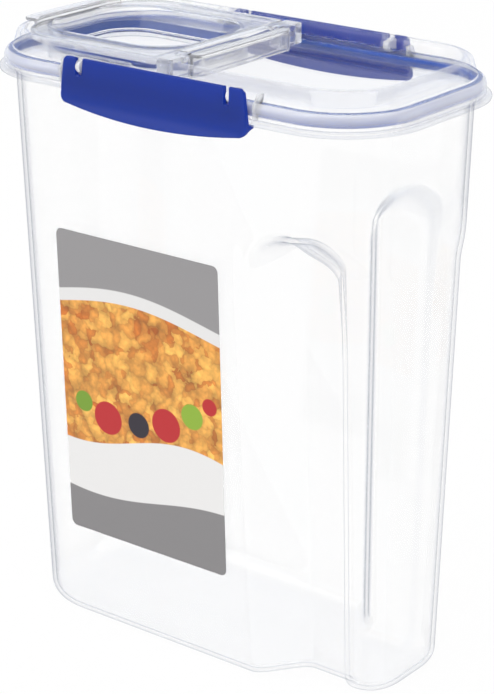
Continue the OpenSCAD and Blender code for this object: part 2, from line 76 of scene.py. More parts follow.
def ring_surface(name, rings, ends="poles", haze=0.0, straight=0.0, edge=0.0):
    """Joins ring j to ring j + 1: the corners of a face are point k and k + 1 of both. With ends="poles"
    the first and last ring are closed by a fan to their mean point, with ends="caps" by one face each, and
    with ends="loop" they join each other. Faces are turned outwards if the volume, the sum of a . (b x c) / 6
    over the triangles, is negative. haze, straight and edge are one number, one per ring or one per point,
    kept on the mesh for the shader."""
    m, n, _ = rings.shape
    points = rings.reshape(-1, 3)
    j = np.arange(m if ends == "loop" else m - 1)[:, None]
    k = np.arange(n)[None, :]
    low, high = j * n, (j + 1) % m * n
    quads = np.stack([low + k, low + (k + 1) % n, high + (k + 1) % n, high + k], axis=-1).reshape(-1, 4)
    triangles = np.empty((0, 3), int)
    caps = []
    if ends == "caps":
        caps = [list(range(n))[::-1], list(range((m - 1) * n, m * n))]
    if ends == "poles":
        points = np.vstack([points, rings[0].mean(axis=0), rings[-1].mean(axis=0)])
        k = np.arange(n)
        first = np.stack([np.full(n, m * n), (k + 1) % n, k], axis=-1)
        last = np.stack([np.full(n, m * n + 1), (m - 1) * n + k, (m - 1) * n + (k + 1) % n], axis=-1)
        triangles = np.vstack([first, last])
    fans = np.vstack([quads[:, [0, 1, 2]], quads[:, [0, 2, 3]], triangles])
    a, b, c = points[fans[:, 0]], points[fans[:, 1]], points[fans[:, 2]]
    if np.einsum("ij,ij->i", a, np.cross(b, c)).sum() < 0:
        quads, triangles = quads[:, ::-1], triangles[:, ::-1]
        caps = [cap[::-1] for cap in caps]
    mesh = bpy.data.meshes.new(name)
    mesh.from_pydata((points * MM).tolist(), [], quads.tolist() + triangles.tolist() + caps)
    mesh.shade_smooth()
    mesh.normals_split_custom_set_from_vertices(weighted_normals(points, quads, triangles, caps))
    # The "edge" values are the share of painted shade, a grey tint at a fold of the wall.
    for key, given in (("haze", haze), ("straight", straight), ("edge", edge)):
        given = np.asarray(given, float)
        value = np.broadcast_to(given[:, None] if given.ndim == 1 else given, (m, n)).ravel()
        value = np.append(value, value[[0, -1]]) if ends == "poles" else value
        mesh.attributes.new(key, "FLOAT", "POINT").data.foreach_set("value", value)
    mesh.update()
    piece = bpy.data.objects.new(name, mesh)
    bpy.context.scene.collection.objects.link(piece)
    print(f"{name}: {len(points)} points, {len(quads) + len(triangles)} faces")
    return piece


def ease(t):
    """A curve that leaves 0 and reaches 1 level: 3 t squared minus 2 t cubed, held outside 0 to 1."""
    u = np.clip(t, 0, 1)
    return u * u * (3 - 2 * u)


def mix(a, b, t):
    """a where t is 0, b where t is 1, and evenly between them."""
    return a + (b - a) * t


def soft_corners(points, cut, steps=5):
    """Replaces each corner of a closed outline by a small parabola. It starts and ends a distance cut from
    the corner: (1 - q)^2 start + 2 q (1 - q) corner + q^2 end, for q from 0 to 1."""
    p = np.asarray(points, float)
    cut = np.broadcast_to(np.asarray(cut, float), len(p))[:, None]
    to_last, to_next = np.roll(p, 1, axis=0) - p, np.roll(p, -1, axis=0) - p
    start = p + to_last / np.linalg.norm(to_last, axis=1, keepdims=True) * cut
    end = p + to_next / np.linalg.norm(to_next, axis=1, keepdims=True) * cut
    q = np.linspace(0, 1, steps)[None, :, None]
    curve = (1 - q) ** 2 * start[:, None] + 2 * q * (1 - q) * p[:, None] + q**2 * end[:, None]
    return curve.reshape(-1, 2)


def arc(cx, cy, rx, ry, a0, a1, steps=9):
    """Points of an ellipse's arc: centre plus (rx cos a, ry sin a), a in degrees from a0 to a1."""
    a = np.radians(np.linspace(a0, a1, steps))
    return np.stack([cx + rx * np.cos(a), cy + ry * np.sin(a)], axis=-1)


# %% [markdown]
# ## Rounded plans
#
# Seen from above, the lip, the lid, its raised ring, the pour opening and the flap are all rounded
# rectangles. One function gives the plan's points and, at each point, the direction that leads straight
# out. A ring that is set in by s is then the plan minus s times that direction, and its corners stay round.

# %% Plans with their outward directions
CORNER_STEPS = 22
SIDE_STEPS = 14


def rounded_plan(x0, x1, y1, r_left, r_right):
    """Points and outward directions of a rectangle from x0 to x1 and -y1 to y1. A corner's points are its
    centre plus r times (cos a, sin a), over 90 degrees, and the sides are divided evenly between corners."""
    spots, outs = [], []
    corners = [(x1, y1, r_right, 0), (x0, y1, r_left, 90), (x0, -y1, r_left, 180), (x1, -y1, r_right, 270)]
    for x, y, r, a0 in corners:
        a = np.radians(a0 + np.linspace(0, 90, CORNER_STEPS))
        out = np.stack([np.cos(a), np.sin(a)], axis=-1)
        spots.append(np.array([x - math.copysign(r, x - (x0 + x1) / 2), y - math.copysign(r, y)]) + r * out)
        outs.append(out)
    plan, way = [], []
    t = np.linspace(0, 1, SIDE_STEPS + 2)[1:-1, None]
    for i in range(4):
        after = (i + 1) % 4
        plan += [spots[i], mix(spots[i][-1], spots[after][0], t)]
        way += [outs[i], np.repeat(outs[i][-1:], SIDE_STEPS, axis=0)]
    return np.vstack(plan), np.vstack(way)


def carried(plan, way, profile):
    """Carries a profile round a plan: for each profile point (s, z) the ring is plan - s * way at height z."""
    s, z = profile[:, 0], profile[:, 1]
    flat = plan[None] - s[:, None, None] * way[None]
    return np.concatenate([flat, np.broadcast_to(z[:, None, None], flat.shape[:2] + (1,))], axis=2)


LIP_L, LIP_W, LIP_R = 217, 118, 39  # length, width and corner of the lip
lid_plan, lid_way = rounded_plan(-LIP_L / 2, LIP_L / 2, LIP_W / 2, LIP_R, LIP_R)
print("points round the lid:", len(lid_plan))

# %% [markdown]
# ## One colour function, one node function
#
# Designers give colours as sRGB hex values, but shaders add and multiply light, so each value is turned
# linear once, here. A second small function adds a node with its settings and links.

# %% Colour and node helpers
def colour(hex_value, alpha=1.0):
    """sRGB hex to linear: c / 12.92 for dark values, else ((c + 0.055) / 1.055) ^ 2.4."""
    c = np.array([int(hex_value[i : i + 2], 16) for i in (1, 3, 5)]) / 255
    linear = np.where(c <= 0.04045, c / 12.92, ((c + 0.055) / 1.055) ** 2.4)
    return (*linear.tolist(), alpha)


def add(tree, kind, inputs=(), **settings):
    """Adds a node. inputs maps a socket's name or number to a value, to the output that feeds it, or to a
    node, whose first output then feeds it."""
    node = tree.nodes.new(kind)
    for key, value in settings.items():
        setattr(node, key, value)
    for key, value in dict(inputs).items():
        if isinstance(value, bpy.types.Node):
            value = value.outputs[0]
        if isinstance(value, bpy.types.NodeSocket):
            tree.links.new(value, node.inputs[key])
        else:
            node.inputs[key].default_value = value
    return node


def new_material(name):
    """An empty material and its node tree."""
    material = bpy.data.materials.new(name)
    material.use_nodes = True
    tree = material.node_tree
    tree.nodes.clear()
    return material, tree


def dress(piece, material, body, node):
    """Gives a piece its material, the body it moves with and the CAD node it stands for."""
    piece.data.materials.clear()
    piece.data.materials.append(material)
    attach(piece, body)
    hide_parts(node)


# %% [markdown]
# ## Clear polypropylene
#
# The box and the lid are injection-moulded random-copolymer polypropylene. It is clear but never as clear as
# glass: tiny crystals scatter some light, so rims look milky, and a long way through the plastic, as at the
# silhouette, looks grey. A white share of each face gives the first effect, larger where the mesh says "haze";
# on the lid's shoulder and ears that white share is raised further as a painted highlight. A thin absorbing
# volume gives the second, because it counts the real length of each path through the wall, and a grey tint,
# painted shade, darkens glancing views and the groove's fold further.
# A flat thin wall hardly shifts what is behind it, so where the mesh says "straight" most of the light goes
# straight through, and a small share is mirrored. Only a glancing view goes back to the bending shader. Slow
# noise stands for the flow marks that a mould leaves.

# %% Clear plastics
CLEAREST = 0.995  # the share of light that passes where nothing is milky
GLANCE, FRESNEL = 30.0, 5.0  # powers of facing: where a thin wall ends, and how its mirror share grows
HEAD_ON = 0.04  # share of light that plastic of IOR 1.49 mirrors in a view from straight ahead


def clear_plastic(name, haze, flow_mm, thin, shade_power, absorb, density, shine):
    """thin is the colour of a grey tint painted into the light that passes a thin wall: painted shade at a glancing
    view, where the silhouette looks grey, partly standing for the long way that light has through the wall. It comes
    in as facing raised to a power, and also where the mesh says "edge", as painted shade at a fold of the wall. A
    thin wall mirrors a share of 0.04 + 0.96 * facing ^ 5 of the light, times shine."""
    material, tree = new_material(name)
    place = add(tree, "ShaderNodeTexCoord").outputs["Object"]
    flow = add(tree, "ShaderNodeTexNoise", {"Vector": place, "Scale": 1000 / flow_mm, "Detail": 1.0}).outputs["Fac"]
    facing = add(tree, "ShaderNodeLayerWeight", {"Blend": 0.5}).outputs["Facing"]
    powers = (GLANCE, shade_power, FRESNEL)
    glancing, slanted, mirroring = [
        add(tree, "ShaderNodeMath", {0: facing, 1: power}, operation="POWER") for power in powers]
    milky, flat_wall, fold_shade = [
        add(tree, "ShaderNodeAttribute", attribute_name=key).outputs["Fac"] for key in ("haze", "straight", "edge")]

    marks = add(tree, "ShaderNodeMath", {0: flow, 1: 0.3 * haze, 2: 0.85 * haze}, operation="MULTIPLY_ADD")
    white = add(tree, "ShaderNodeMath", {0: marks, 1: milky}, operation="MULTIPLY")
    clear = add(tree, "ShaderNodeMath", {0: CLEAREST, 1: white}, operation="SUBTRACT")
    bending = add(tree, "ShaderNodeBsdfPrincipled", {
        "Base Color": (1, 1, 1, 1), "Roughness": 0.0, "IOR": 1.49, "Transmission Weight": clear,
    })

    # Painted shade: where the view glances or the mesh marks a fold, what passes straight through is tinted grey.
    painted_shade_share = add(tree, "ShaderNodeMath", {0: slanted, 1: fold_shade}, operation="MAXIMUM")
    passed = add(tree, "ShaderNodeMix", {0: painted_shade_share, 6: (1, 1, 1, 1), 7: colour(thin)}, data_type="RGBA").outputs[2]
    straight = add(tree, "ShaderNodeBsdfTransparent", {"Color": passed})
    mirror = add(tree, "ShaderNodeBsdfAnisotropic", {"Color": (1, 1, 1, 1), "Roughness": 0.0})
    glare = {0: mirroring, 1: (1 - HEAD_ON) * shine, 2: HEAD_ON * shine}
    glare = add(tree, "ShaderNodeMath", glare, operation="MULTIPLY_ADD")
    thin_wall = add(tree, "ShaderNodeMixShader", {0: glare, 1: straight, 2: mirror})

    ahead = add(tree, "ShaderNodeMath", {0: 1.0, 1: glancing}, operation="SUBTRACT")
    through = add(tree, "ShaderNodeMath", {0: ahead, 1: flat_wall}, operation="MULTIPLY")
    both = add(tree, "ShaderNodeMixShader", {0: through, 1: bending, 2: thin_wall})
    volume = add(tree, "ShaderNodeVolumeAbsorption", {"Color": colour(absorb), "Density": density})
    add(tree, "ShaderNodeOutputMaterial", {"Surface": both, "Volume": volume})
    return material


# After the name, haze and flow: the tint and power of the painted shade at glancing views, then the real absorption,
# its density, and the shine.
clear_body = clear_plastic("clear_polypropylene_box", 0.34, 60, "#42557f", 8.0, "#adb2be", 3.0, 0.4)
clear_lid = clear_plastic("clear_polypropylene_lid", 0.26, 30, "#a8b8dc", 15.0, "#7c9ad6", 6.0, 0.1)

# %% [markdown]
# ## The box
#
# The wall is a rounded rectangle that grows towards the rim, because a moulded box must leave its tool. The
# grip is pressed into it: a slanted flank, a groove for the fingers, a small ridge and the end post. The
# half width of the box at each x and height is the plain wall less the depth of the grip there. Points sit
# at stations that follow the flank, the ridge and the corners, so every edge of the grip has its own row.
# In the functions below w is how far a face is set in: 0 for the outside, the wall's thickness for the inside.

# %% The box's wall as a function of place along it and height
LIP_OUT, LIP_Z, WALL = 6.3, 259.2, 1.8  # how far the lip stands out, its underside, thickness of the wall
DRAFT_X, DRAFT_Y, BODY_R, BASE_R = 3.5, 9.4, 35.0, 7.0  # how far each side draws in, corners of plan and base
GROOVE_D, POST_D, POST_R = 19.8, 15.8, 16.0  # depth of the groove and of the post, corner of the post
FLANK_X, FLANK_L, FLANK_LEAN = 39.7, 20.8, 6.4  # start of the flank at the base, its length and its lean
RIDGE_X, RIDGE_L = 77.0, 4.0  # start of the ridge and its length
ARCH_X, ARCH_HW, ARCH_Z, ARCH_RISE = 63.0, 24.0, 190.0, 22.0  # middle, half width, foot and rise of the arch
ARCH_END = RIDGE_X + 1.4 * RIDGE_L  # where the arch comes down on the ridge
GROOVE_RUN, POST_UP, POST_RUN = 8.0, 36.0, 36.0  # run-out of the groove, height and run-out of the post
SHIFT = 0.55  # how far a slanted edge moves along X for each millimetre that its face is set in
ROUNDING = 12  # power that rounds the meeting of corner and grip: the larger, the sharper


def half_l(z):
    """Half the outside length at a height: it grows evenly from the base to the lip."""
    return LIP_L / 2 - LIP_OUT - DRAFT_X * (1 - z / LIP_Z)


def half_w(z):
    """Half the outside width at a height, in the same way."""
    return LIP_W / 2 - LIP_OUT - DRAFT_Y * (1 - z / LIP_Z)


def corner_drop(r, past):
    """How far a quarter circle of radius r falls away at a distance past its start: r - sqrt(r^2 - past^2)."""
    past = np.clip(past, 0, r)
    return r - np.sqrt(r * r - past * past)


def ridge_start(w):
    """The ridge starts a little further along on the inner face."""
    return RIDGE_X + SHIFT * w


def flank_start(z, w):
    """The flank leans: its start moves back by FLANK_LEAN from the base to the lip."""
    return FLANK_X - FLANK_LEAN * z / LIP_Z - SHIFT * w


def on_post(x, w):
    """0 in the groove, 1 on the post, with a soft step up the ridge."""
    return ease((x - ridge_start(w)) / RIDGE_L)


def arch(x):
    """Half of an ellipse over the groove, wider towards the flank than towards the ridge."""
    t = (x - ARCH_X) / np.where(x < ARCH_X, ARCH_HW, ARCH_END - ARCH_X)
    return ARCH_RISE * np.sqrt(np.clip(1 - t * t, 0, 1))


def arch_run(x):
    """Height of the groove's run-out, up to 0.7 of itself more towards the flank."""
    return GROOVE_RUN * (1 + 0.7 * ease((ARCH_X - x) / (0.7 * ARCH_HW)))


def in_groove(x, z, w):
    """Share of the groove's full depth: all of it under the arch, none on the post or above."""
    return (1 - on_post(x, w)) * (1 - ease((z - ARCH_Z - w - arch(x)) / arch_run(x) + 1))


def post_left(x, z, w):
    """Share of the post's depth left at a height. Its run-out starts at 0.4 of its height over the groove."""
    top = ARCH_Z + 0.4 * w + POST_UP * mix(0.4, 1, ease((x - ARCH_X) / (RIDGE_X + 3 * RIDGE_L - ARCH_X)))
    return 1 - ease((z - top) / POST_RUN + 1)


def grip_depth(x, z, w):
    """Depth of the grip below the side wall: down the flank, along the groove, up the ridge to the post."""
    down = ease((x - flank_start(z, w)) / FLANK_L)
    post = POST_D + corner_drop(POST_R - w, x - (half_l(z) - POST_R))
    return down * mix(post * post_left(x, z, w), GROOVE_D, in_groove(x, z, w))


def wall_y(x, z, w):
    """Half width of the box, set in by w, less a drop. The drop is the larger of the corner's and the grip's,
    rounded where they meet: (corner^12 + grip^12)^(1/12)."""
    corner = corner_drop(BODY_R - w, np.abs(x) - (half_l(z) - BODY_R))
    grip = grip_depth(x, z, w)
    large = np.maximum(np.maximum(corner, grip), 1e-9)
    return half_w(z) - w - large * ((corner / large) ** ROUNDING + (grip / large) ** ROUNDING) ** (1 / ROUNDING)


def past_ridge(x, w):
    """0 in the groove, 1 where the post's corner has begun, with a slower step than on_post."""
    return ease((x - ridge_start(w)) / (POST_R + 2))


def row_top(x, w):
    """Height of the row of points at the top of the run-out: over the arch, then up to the post's run-out."""
    return ARCH_Z + w + mix(arch(np.minimum(x, RIDGE_X + RIDGE_L / 2)), POST_UP, past_ridge(x, w))


def row_run(x, w):
    """Height of the run-out below row_top: the groove's, then the post's."""
    return mix(arch_run(x), POST_RUN, past_ridge(x, w))


# %% Stations along one side, and the closed rings through them
LEFT = np.radians(np.linspace(0, 90, 26))
SIDE = np.array([0.15, 0.152, 0.157, 0.162, 0.3, 0.5, 0.7, 0.85])  # close together where the lip steps back
FLANK = np.linspace(0, 1, 27)
BETWEEN = np.linspace(0, 1, 13)[1:-1]
RIDGE = np.linspace(0, 1, 15)
POST = np.radians(np.linspace(38, 0, 15))


def stations(z, w):
    """x of each point on one side, from the -X end to the +X end, for every height in z at once."""
    z = np.asarray(z, float)[:, None]
    c, r = half_l(z) - BODY_R, BODY_R - w
    f0, r0 = flank_start(z, w), ridge_start(w)
    p0 = c + r * np.cos(POST[0])
    return np.hstack([
        -c - r * np.cos(LEFT), mix(-c, f0, SIDE), f0 + FLANK_L * FLANK, mix(f0 + FLANK_L, r0, BETWEEN),
        r0 + RIDGE_L * RIDGE + 0 * z, mix(r0 + RIDGE_L, p0, BETWEEN), c + r * np.cos(POST),
    ])


def both_sides(x, y, z):
    """Closes each row: the points of the back side, then their mirror images in front, backwards."""
    back = np.stack([x, y, np.broadcast_to(z, x.shape)], axis=-1)
    front = back[:, -2:0:-1] * np.array([1, -1, 1])
    return np.concatenate([back, front], axis=1)


def level_rings(heights, insets):
    """Rings of constant height, each set in by its own inset."""
    rings = []
    for z, w in zip(heights, insets):
        x, z = stations([z], w), np.array([[z]])
        rings.append(both_sides(x, wall_y(x, z, w), z))
    return np.concatenate(rings)


def run_out_rings(shares, w):
    """Rings that follow the run-out of the grip. For shares up to 1, point k lies at row_top less a share of
    row_run there. From 1 to 2 the rings go on to a level one. x of point k is station k at its own height."""
    x0 = stations([ARCH_Z], w)
    u = np.asarray(shares)[:, None]
    z = row_top(x0, w) - row_run(x0, w) * (1 - np.minimum(u, 1))
    z = mix(z, ARCH_Z + 1.3 * POST_UP, np.maximum(u - 1, 0))
    x = np.stack([np.diagonal(stations(row, w)) for row in z])
    return both_sides(x, wall_y(x, z, w), z)


LEVELS = [14, 26, 38, 50, 62, 74, 86, 98, 110, 122, 134, 146, 157, 165]
base_turn = np.radians(np.linspace(90, 0, 11))
shares = np.concatenate([np.linspace(0, 1, 25), np.linspace(1, 2, 9)[1:]])
outer = np.concatenate([
    level_rings(BASE_R * (1 - np.sin(base_turn)), BASE_R * (1 - np.cos(base_turn))),
    level_rings(LEVELS, [0.0] * len(LEVELS)),
    run_out_rings(shares, 0.0),
    level_rings([247, 255, 258.2], [0.0] * 3),
])
inner_r = BASE_R - WALL
inner = np.concatenate([
    level_rings(WALL + inner_r * (1 - np.sin(base_turn)), WALL + inner_r * (1 - np.cos(base_turn))),
    level_rings(LEVELS, [WALL] * len(LEVELS)),
    run_out_rings(shares, WALL),
    level_rings([248, 257], [WALL] * 2),
])
print("points round the box:", outer.shape[1], "rings:", len(outer), len(inner))

# %% [markdown]
# The lip is an even rim round the top. Its plan has a larger corner than the wall, so each point of the wall
# is matched with the point of the lip that has the same outward direction. Behind each clip the lip steps
# back by 2 mm, which makes room for the clip's hook.

# %% Lip and rim, matched to the wall's points
STEP_HALF, STEP_RUN, STEP_BACK = 51.4, 0.9, 2.0  # half length of the step in the lip, its ramp and its depth


def lip_match():
    """For each point of the wall's top ring: its outward angle, from acos((|x| - c) / r) past the corner's
    start, and then the lip's plan point with that angle."""
    x = stations([LIP_Z], 0.0)[0]
    c = half_l(LIP_Z) - BODY_R
    angle = np.where(np.abs(x) > c, np.arccos(np.clip((np.abs(x) - c) / BODY_R, 0, 1)), np.pi / 2)
    way = np.stack([np.sign(x) * np.cos(angle), np.sin(angle)], axis=-1)
    along = np.where(np.abs(x) > c, np.sign(x) * (LIP_L / 2 - LIP_R) + LIP_R * way[:, 0], x)
    across = np.where(np.abs(x) > c, LIP_W / 2 - LIP_R + LIP_R * way[:, 1], LIP_W / 2)
    spot = np.stack([along, across], axis=-1)
    flip = np.array([1, -1])
    return np.vstack([spot, spot[-2:0:-1] * flip]), np.vstack([way, way[-2:0:-1] * flip])


lip_plan, lip_way = lip_match()
lip_profile = np.array([
    (6.3, 258.8), (6.0, 259.1), (5.6, 259.2), (1.2, 259.2), (0.6, 259.25), (0.15, 259.5), (0.0, 259.9), (0.0, 260.3),
    (0.15, 260.7), (0.5, 260.95), (1.0, 261.0), (5.9, 261.0), (6.2, 261.1), (6.3, 261.4), (6.3, 264.3), (6.45, 264.8),
    (6.8, 265.0), (7.6, 265.0), (7.95, 264.8), (8.1, 264.3), (8.1, 260.5),
])
lip = carried(lip_plan, lip_way, lip_profile)
step = ease((STEP_HALF - np.abs(lip[..., 0])) / STEP_RUN)
lip[..., 1] = np.sign(lip[..., 1]) * np.minimum(np.abs(lip[..., 1]), LIP_W / 2 - STEP_BACK * step)


def to_middle(ring, z, outward):
    """Rings of the flat floor. They draw in from the wall to a thin ellipse along the middle line, half a
    millimetre wide each way. Only y changes, so they never cross in the narrow part beside the grip."""
    thin = 0.5 * np.sign(ring[:, 1]) * np.sqrt(np.clip(1 - (ring[:, 0] / np.abs(ring[:, 0]).max()) ** 2, 0, 1))
    share = np.array([0.02, 0.1, 0.4, 0.7, 1.0])[:: -1 if outward else 1, None]
    y = mix(ring[None, :, 1], thin, share)
    return np.stack([np.broadcast_to(ring[:, 0], y.shape), y, np.full(y.shape, z)], axis=-1)


# %% The whole shell, with its haze, its straight share and the painted shade along the groove's fold
base_rings, floor_rings = to_middle(outer[0], 0.0, True), to_middle(inner[0], WALL, False)
box_rings = np.concatenate([base_rings, outer, lip, inner[::-1], floor_rings])
box_x, box_y, box_up = box_rings[..., 0], box_rings[..., 1], box_rings[..., 2]
box_z = box_up.mean(axis=1)

# The edge of the groove is a fold in the wall, and its grey is painted shade, a tint put where the fold looks dark:
# most where its share of depth is near FOLD, then less and less inwards. It starts past FOLD_X and grows towards the
# arch. The back's fold gets less of this painted shade, because the milky front wall in between would hide most of
# it.
FOLD, FOLD_X, FOLD_RUN, BACK_FOLD_SHADE = 0.15, 46, 16, 0.4
groove = in_groove(box_x, np.maximum(box_up, 10.0), 0.0)
box_fold_shade = np.minimum(groove / FOLD, 1) * (1 - groove) ** 3 * ease((box_x - FOLD_X) / FOLD_RUN)
box_fold_shade = box_fold_shade * np.interp(box_up, [10, 150, 195, 205], [0.12, 0.18, 0.4, 0.5])
box_fold_shade = box_fold_shade * np.where(box_y > 0, BACK_FOLD_SHADE, 1.0)
box_haze = np.interp(box_z, [0, 30, 235, 250], [0.01, 0.03, 0.02, 0])
box_straight = np.interp(
    box_z, [0, 1.8, 2.2, 7, 14, 240, 250, 264, 265], [0.97, 0.97, 0.92, 0.92, 0.96, 0.96, 0.96, 0.92, 0.7])
box = ring_surface("box_shell", box_rings, haze=box_haze, straight=box_straight, edge=box_fold_shade)
dress(box, clear_body, "body", "body")

# %% [markdown]
# ## The lid
#
# The lid's section is one closed line: up the skirt, round the shoulder, over the raised ring, across the
# sunken floor to the pour opening, down its collar and back underneath. Insets are measured from the lip's
# outline, so the same profile can be carried round the whole plan. Across the floor each point slides in a
# straight line from the ring to the point with the same number on the opening's plan.

# %% Lid shell
opening_plan, opening_way = rounded_plan(-92.8, -12.2, 31.8, 22.3, 22.3)

over = np.vstack([
    [(2.55, 261.3), (2.4, 261.5), (2.4, 263.0)],
    arc(5.8, 265.1, 3.4, 3.4, 180, 90, 9),
    [(6.0, 268.55), (6.25, 268.85), (6.5, 269.7), (7.2, 271.9)],
    arc(10.7, 274.1, 2.8, 2.6, 180, 0, 17),
    [(13.9, 272.3), (14.5, 269.6), (14.75, 268.5), (14.95, 268.0), (15.25, 267.8)],
])
collar = np.array([
    (-0.35, 267.8), (-0.1, 267.7), (0.0, 267.4), (0.0, 261.6),
    (-0.2, 261.3), (-1.3, 261.3), (-1.5, 261.6), (-1.5, 266.2),
])
under = np.vstack([
    [(13.6, 266.3), (13.35, 266.6), (12.9, 269.0)],
    arc(10.85, 274.1, 1.15, 1.1, 0, 180, 9),
    [(9.7, 268.0), (9.7, 263.2), (9.5, 263.0), (8.7, 263.0), (8.5, 263.2), (8.5, 266.8), (8.2, 267.0)],
    arc(5.8, 265.1, 1.9, 1.9, 90, 180, 7),
    [(3.9, 263.0), (3.9, 261.5), (3.75, 261.3)],
])
ring_rings = carried(lid_plan, lid_way, over)
collar_rings = carried(opening_plan, opening_way, collar)
under_rings = carried(lid_plan, lid_way, under)
flat = np.array([0.01, 0.05, 0.2, 0.4, 0.6, 0.8, 0.95, 0.99])[:, None, None]
across = mix(ring_rings[-1], collar_rings[0], flat)
below = mix(collar_rings[-1], under_rings[0], flat)
lid_rings = np.concatenate([ring_rings, across, collar_rings, below, under_rings])

# Haze and straight share are given at some points of the profile, counted from 0, and drawn evenly between them.
over_point, under_point = np.arange(len(over)), np.arange(len(under))
# Painted highlight: the high haze on the shoulder's round, points 3 to 8, is a band of white that stands in for the
# lamps' reflection over the blue seal. On the skirt, points 0 to 2, the haze is milky plastic.
over_haze_and_highlight = np.interp(
    over_point, [0, 2, 3, 5, 8, 9, 16, 19, 28, 33, 36], [1.2, 1.4, 2.4, 2.8, 2.8, 0, 0, 0.3, 0.3, 0.1, 0])
under_haze = np.interp(under_point, [0, 3, 9, 12, 18, 23], [0, 0.1, 0.1, 0, 0, 0.4])
over_straight = np.interp(
    over_point, [0, 2, 5, 8, 9, 13, 14, 17, 20, 29, 33, 36], [0.5, 0.5, 0.4, 0.3, 0, 0, 0.97, 0.97, 0.7, 0.7, 0.8, 1])
under_straight = np.interp(under_point, [0, 3, 11, 12, 17, 18, 21], [1, 0.95, 0.95, 0.95, 0.9, 0.7, 0.5])
level = np.zeros(len(flat))
lid_haze_and_highlight = np.concatenate([over_haze_and_highlight, level, np.full(len(collar), 0.15), level, under_haze])
lid_straight = np.concatenate([over_straight, level + 1, np.full(len(collar), 0.4), level + 1, under_straight])
lid = ring_surface("lid_shell", lid_rings, ends="loop", haze=lid_haze_and_highlight, straight=lid_straight)
dress(lid, clear_lid, "lid", "lid")

# %% [markdown]
# The small parts of the lid are straight sweeps: the bridge that carries the hinge, the ears at its ends, the
# ears that the clips turn on, and the walls that close the clips' pockets. Each one is an outline moved along
# X or Y. Its first and last rings are set in a little, which gives the soft edges that a mould leaves.

# %% Straight sweeps
def shrunk(outline, d):
    """Moves each point of a closed outline inwards by d along the mean normal of its two sides."""
    p = np.asarray(outline, float)
    after, before = np.roll(p, -1, axis=0) - p, p - np.roll(p, 1, axis=0)
    after /= np.linalg.norm(after, axis=1, keepdims=True)
    before /= np.linalg.norm(before, axis=1, keepdims=True)
    side = after + before
    side /= np.linalg.norm(side, axis=1, keepdims=True)
    area = 0.5 * np.sum(p[:, 0] * np.roll(p[:, 1], -1) - np.roll(p[:, 0], -1) * p[:, 1])
    return p + d * math.copysign(1, area) * np.stack([-side[:, 1], side[:, 0]], axis=-1)


def sweep_rings(outline, start, end, along, soft=0.25):
    """Rings of an outline, given as (across, z), moved from start to end along "x" or "y". With along="z" the
    outline is a plan, (x, y), and the rings rise."""
    turn = np.radians(np.linspace(0, 90, 4))
    inset = soft * (1 - np.sin(turn))
    place = soft * (1 - np.cos(turn))
    inset = np.concatenate([inset, inset[::-1]])
    place = np.concatenate([start + place, end - place[::-1]])
    flat = np.stack([shrunk(outline, d) for d in inset])
    third = np.broadcast_to(place[:, None], flat.shape[:2])
    return np.stack(np.insert([flat[..., 0], flat[..., 1]], "xyz".index(along), third, axis=0), axis=-1)


# %% Bridge, hinge ears, clip ears and pocket walls
FOOT, PLATE_TOP = 266.9, 276.2  # where the bridge and the hinge ears stand in the lid's floor, and their top
LUG_X, LUG_HALF = 40.7, 1.5  # middle and half thickness of the ears that the clips turn on
POCKET_X, POCKET_HALF = 52, 0.75  # the same for the walls of the clips' pockets

bridge_out, bridge_way = rounded_plan(-1.5, 4.5, 33.0, 0.8, 4.0)
bridge_in, bridge_in_way = rounded_plan(0.0, 3.0, 31.5, 0.3, 2.4)
hollow = np.array([(0.28, 274.7), (0.08, 274.6), (0.0, 274.35), (0.0, 267.9), (0.0, 267.2), (-0.15, FOOT)])
outside = np.array([
    (0.3, FOOT), (0.0, 267.2), (0.0, 267.9), (0.0, 275.3), (0.1, 275.8), (0.3, 276.1), (0.7, PLATE_TOP),
])
bridge = np.concatenate([carried(bridge_in, bridge_in_way, hollow), carried(bridge_out, bridge_way, outside)])
dress(ring_surface("lid_bridge", bridge, haze=0.5), clear_lid, "lid", "lid")

ear_plan = np.array([(-9.0, 29.9), (-1.6, 29.9), (-1.6, 33.1), (-0.1, 33.1), (-0.1, 45.5), (-9.0, 45.5)])
lug_outline = np.vstack([
    arc(56.5, 270.0, 3.0, 3.0, -100, 100, 15),
    [(54.0, 272.2), (51.6, 272.2), (51.2, 270.0), (52.4, 267.6), (55.0, 267.2)],
])
wall_outline = soft_corners(
    [(55.1, 261.4), (57.5, 261.4), (57.5, 267.5), (55.0, 271.7), (51.4, 271.7), (51.6, 267.2), (55.1, 267.2)], 0.3)
for side in (-1, 1):
    tag = "front" if side < 0 else "back"
    ear_outline = soft_corners(ear_plan * (1, side), [1.6, 0.4, 0.3, 0.5, 1.2, 1.6])
    ear = ring_surface(f"hinge_ear_{tag}", sweep_rings(ear_outline, FOOT, PLATE_TOP, "z", 0.5), "caps", 0.4)
    dress(ear, clear_lid, "lid", "lid")
    for x, end in ((-1, "a"), (1, "b")):
        lug = sweep_rings(lug_outline * (side, 1), x * LUG_X - LUG_HALF, x * LUG_X + LUG_HALF, "x")
        wall = sweep_rings(wall_outline * (side, 1), x * POCKET_X - POCKET_HALF, x * POCKET_X + POCKET_HALF, "x")
        # The ears' haze of 2.4 and the pocket walls' of 1.4 are partly milky plastic and partly a painted highlight
        # on their ends.
        dress(ring_surface(f"clip_ear_{tag}_{end}", lug, "caps", 2.4), clear_lid, "lid", "lid")
        dress(ring_surface(f"pocket_wall_{tag}_{end}", wall, "caps", 1.4, 0.3), clear_lid, "lid", "lid")

# %% [markdown]
# ## Blue seals and clips
#
# The seals are silicone, the clips a harder plastic of the same blue. Silicone is softer in its shine, and a
# little light goes into it, so a small subsurface share keeps its edges from looking black. The clips are thin
# plates that let some light through, so half of their shader is translucent, in a paler blue. Both have the
# fine grain of a mould. It is drawn 0.6 to 0.8 mm wide, coarser than the real one, so that it shows.

# %% Blue plastics
GRAIN, GRAIN_DEPTH = 0.2, 0.00005  # strength of the grain's bump, and its depth in metres


